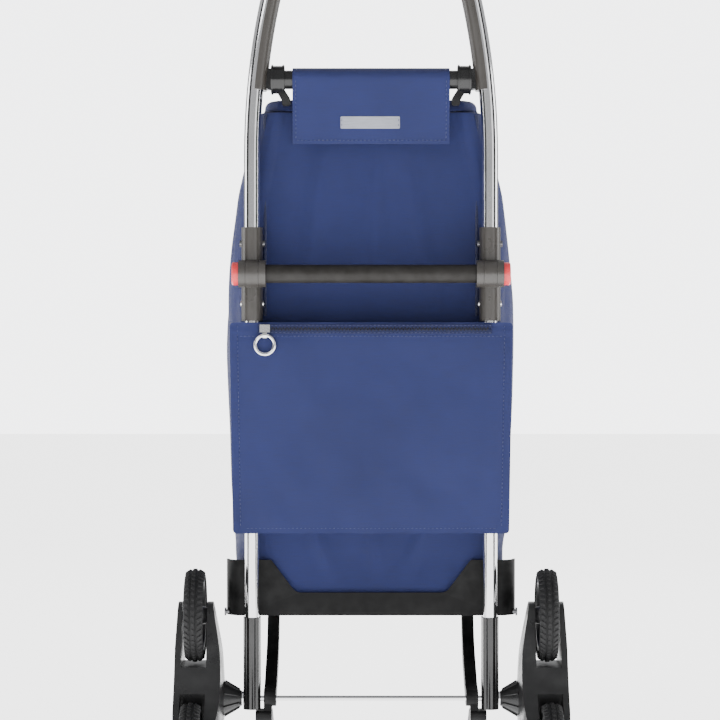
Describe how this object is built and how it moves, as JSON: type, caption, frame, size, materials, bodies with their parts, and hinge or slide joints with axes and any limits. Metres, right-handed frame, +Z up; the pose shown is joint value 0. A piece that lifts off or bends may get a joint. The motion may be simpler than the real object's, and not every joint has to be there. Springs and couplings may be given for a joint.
{
  "type": "folding shopping trolley",
  "caption": "Two-sided folding shopping trolley with an oval-tube frame, stair-climbing wheel carriers, a folding tray and a tall padded fabric bag.",
  "frame": {"origin": "on the floor, in the middle of the trolley between the wheels and the front of the tray", "axes": "+Z up, -Y the side the user pulls from, +X to the right seen from that side"},
  "size_m": [0.463, 0.402, 1.06],
  "materials": {
    "polished_tube": "polished, faint drawn lines",
    "bright_steel": "plated bright",
    "dark_steel": "dark zinc",
    "knuckle_plastic": "fine moulded grain",
    "black_plastic": "semi-gloss moulded",
    "tray_plastic": "fine moulded grain",
    "carrier_plastic": "satin moulded",
    "red_plastic": "gloss moulded",
    "grip_foam": "soft ribbed grip",
    "tyre_rubber": "matt rubber",
    "rim_plastic": "satin moulded",
    "bush_nylon": "natural nylon",
    "foot_rubber": "matt rubber",
    "bag_fabric": "woven polyester",
    "zip_fabric": "woven tape"
  },
  "bodies": {
    "lower_frame": {"lower_knuckle_left": "knuckle_plastic", "lower_knuckle_right": "knuckle_plastic", "folding_pins": "bright_steel", "knuckle_rivets": "bright_steel", "hinge_crossbar": "knuckle_plastic", "lower_tube_left": "polished_tube", "lower_tube_right": "polished_tube", "leg_sleeve_left": "black_plastic", "leg_sleeve_right": "black_plastic", "axle": "bright_steel", "axle_washers": "bright_steel", "hub_cap_left": "carrier_plastic", "hub_cap_right": "carrier_plastic", "side_leg_left": "tray_plastic", "side_leg_right": "tray_plastic", "foot_pads": "foot_rubber", "tray_back": "tray_plastic", "tray_hinge_pin": "dark_steel", "bag_body": "bag_fabric", "back_pocket": "bag_fabric", "pocket_zip": "zip_fabric", "hang_flap": "bag_fabric", "button_spring_left": "dark_steel", "button_spring_right": "dark_steel"},
    "upper_frame": {"upper_knuckle_left": "knuckle_plastic", "upper_knuckle_right": "knuckle_plastic", "knuckle_screws": "dark_steel", "handle_arch": "polished_tube", "handle_trim": "black_plastic", "handle_grip": "grip_foam", "top_bar": "black_plastic", "bar_bracket_left": "black_plastic", "bar_bracket_right": "black_plastic"},
    "tray_floor": {"tray_floor": "tray_plastic"},
    "bag_lid": {"bag_lid": "bag_fabric"},
    "zip_slider": {"zip_slider": "bright_steel"},
    "zip_ring": {"zip_ring": "bright_steel"},
    "release_button_left": {"release_button_left": "red_plastic"},
    "carrier_left": {"carrier_outer_left": "carrier_plastic", "carrier_inner_left": "carrier_plastic", "carrier_bush_left": "bush_nylon", "wheel_pins_left": "dark_steel"},
    "wheel_top_left": {"tyre_top_left": "tyre_rubber", "rim_top_left": "rim_plastic"},
    "wheel_rear_left": {"tyre_rear_left": "tyre_rubber", "rim_rear_left": "rim_plastic"},
    "wheel_front_left": {"tyre_front_left": "tyre_rubber", "rim_front_left": "rim_plastic"},
    "release_button_right": {"release_button_right": "red_plastic"},
    "carrier_right": {"carrier_outer_right": "carrier_plastic", "carrier_inner_right": "carrier_plastic", "carrier_bush_right": "bush_nylon", "wheel_pins_right": "dark_steel"},
    "wheel_top_right": {"tyre_top_right": "tyre_rubber", "rim_top_right": "rim_plastic"},
    "wheel_rear_right": {"tyre_rear_right": "tyre_rubber", "rim_rear_right": "rim_plastic"},
    "wheel_front_right": {"tyre_front_right": "tyre_rubber", "rim_front_right": "rim_plastic"}
  },
  "joints": [
    {"name": "frame_fold", "type": "hinge", "parent": "lower_frame", "child": "upper_frame", "pos_m": [0, -0.08313, 0.604], "axis": [1, 0, 0], "range_deg": [0, 176], "deforming": ["hang_flap"]},
    {"name": "tray_fold", "type": "hinge", "parent": "lower_frame", "child": "tray_floor", "pos_m": [0, -0.03613, 0.2038], "axis": [1, 0, 0], "range_deg": [0, 85], "deforming": ["bag_body"]},
    {"name": "lid_swing", "type": "hinge", "parent": "lower_frame", "child": "bag_lid", "pos_m": [0, -0.04313, 0.7986], "axis": [1, 0, 0], "range_deg": [0, 34]},
    {"name": "button_press_left", "type": "slide", "parent": "lower_frame", "child": "release_button_left", "axis": [1, 0, 0], "range_m": [0, 0.004], "stiffness_N_per_m": 800, "springref_m": -0.003, "deforming": ["button_spring_left"]},
    {"name": "carrier_spin_left", "type": "hinge", "parent": "lower_frame", "child": "carrier_left", "pos_m": [0, -0.06113, 0.104], "axis": [1, 0, 0], "continuous": true},
    {"name": "wheel_spin_top_left", "type": "hinge", "parent": "carrier_left", "child": "wheel_top_left", "pos_m": [0, -0.06113, 0.202], "axis": [1, 0, 0], "continuous": true},
    {"name": "wheel_spin_rear_left", "type": "hinge", "parent": "carrier_left", "child": "wheel_rear_left", "pos_m": [0, -0.146, 0.055], "axis": [1, 0, 0], "continuous": true},
    {"name": "wheel_spin_front_left", "type": "hinge", "parent": "carrier_left", "child": "wheel_front_left", "pos_m": [0, 0.02374, 0.055], "axis": [1, 0, 0], "continuous": true},
    {"name": "button_press_right", "type": "slide", "parent": "lower_frame", "child": "release_button_right", "axis": [-1, 0, 0], "range_m": [0, 0.004], "stiffness_N_per_m": 800, "springref_m": -0.003, "deforming": ["button_spring_right"]},
    {"name": "carrier_spin_right", "type": "hinge", "parent": "lower_frame", "child": "carrier_right", "pos_m": [0, -0.06113, 0.104], "axis": [1, 0, 0], "continuous": true},
    {"name": "wheel_spin_top_right", "type": "hinge", "parent": "carrier_right", "child": "wheel_top_right", "pos_m": [0, -0.06113, 0.202], "axis": [1, 0, 0], "continuous": true},
    {"name": "wheel_spin_rear_right", "type": "hinge", "parent": "carrier_right", "child": "wheel_rear_right", "pos_m": [0, -0.146, 0.055], "axis": [1, 0, 0], "continuous": true},
    {"name": "wheel_spin_front_right", "type": "hinge", "parent": "carrier_right", "child": "wheel_front_right", "pos_m": [0, 0.02374, 0.055], "axis": [1, 0, 0], "continuous": true},
    {"name": "zip_slide", "type": "slide", "parent": "lower_frame", "child": "zip_slider", "axis": [1, 0, 0], "range_m": [0, 0.255]},
    {"name": "ring_swing", "type": "hinge", "parent": "zip_slider", "child": "zip_ring", "pos_m": [-0.1245, -0.08253, 0.5319], "axis": [1, 0, 0], "range_deg": [-90, 0]}
  ]
}
